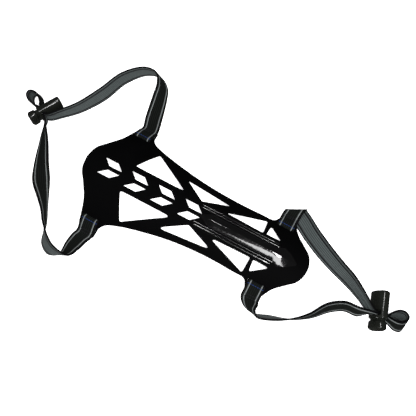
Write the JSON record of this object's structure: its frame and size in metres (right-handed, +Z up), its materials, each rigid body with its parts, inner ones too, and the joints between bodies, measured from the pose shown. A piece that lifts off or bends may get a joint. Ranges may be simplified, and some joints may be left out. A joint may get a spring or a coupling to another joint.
{
  "type": "archery arm guard",
  "caption": "Arched lattice forearm guard with a raised spine, held by an elastic strap at each end; a spring cord lock gathers each strap into a pull loop.",
  "frame": {"origin": "on the table under the middle of the whole guard's bounding box", "axes": "+X along the forearm from the wide end to the narrow end, +Z up out of the plate's crown"},
  "size_m": [0.3294, 0.169, 0.0209],
  "materials": {
    "plate": "moulded black plastic, semi-gloss",
    "strap": "woven elastic, black outside and grey inside",
    "lock": "moulded black plastic, satin"
  },
  "bodies": {
    "guard": {"guard_plate": "plate", "strap_wide": "strap", "strap_narrow": "strap", "lock_barrel_wide": "lock", "lock_barrel_narrow": "lock"},
    "plunger_wide": {"lock_plunger_wide": "lock"},
    "plunger_narrow": {"lock_plunger_narrow": "lock"}
  },
  "joints": [
    {"name": "press_wide", "type": "slide", "parent": "guard", "child": "plunger_wide", "axis": [0.4648, 0.8854, 0], "range_m": [0, 0.0017], "stiffness_N_per_m": 1500},
    {"name": "press_narrow", "type": "slide", "parent": "guard", "child": "plunger_narrow", "axis": [-0.2656, 0.9641, 0], "range_m": [0, 0.0017], "stiffness_N_per_m": 1500}
  ]
}
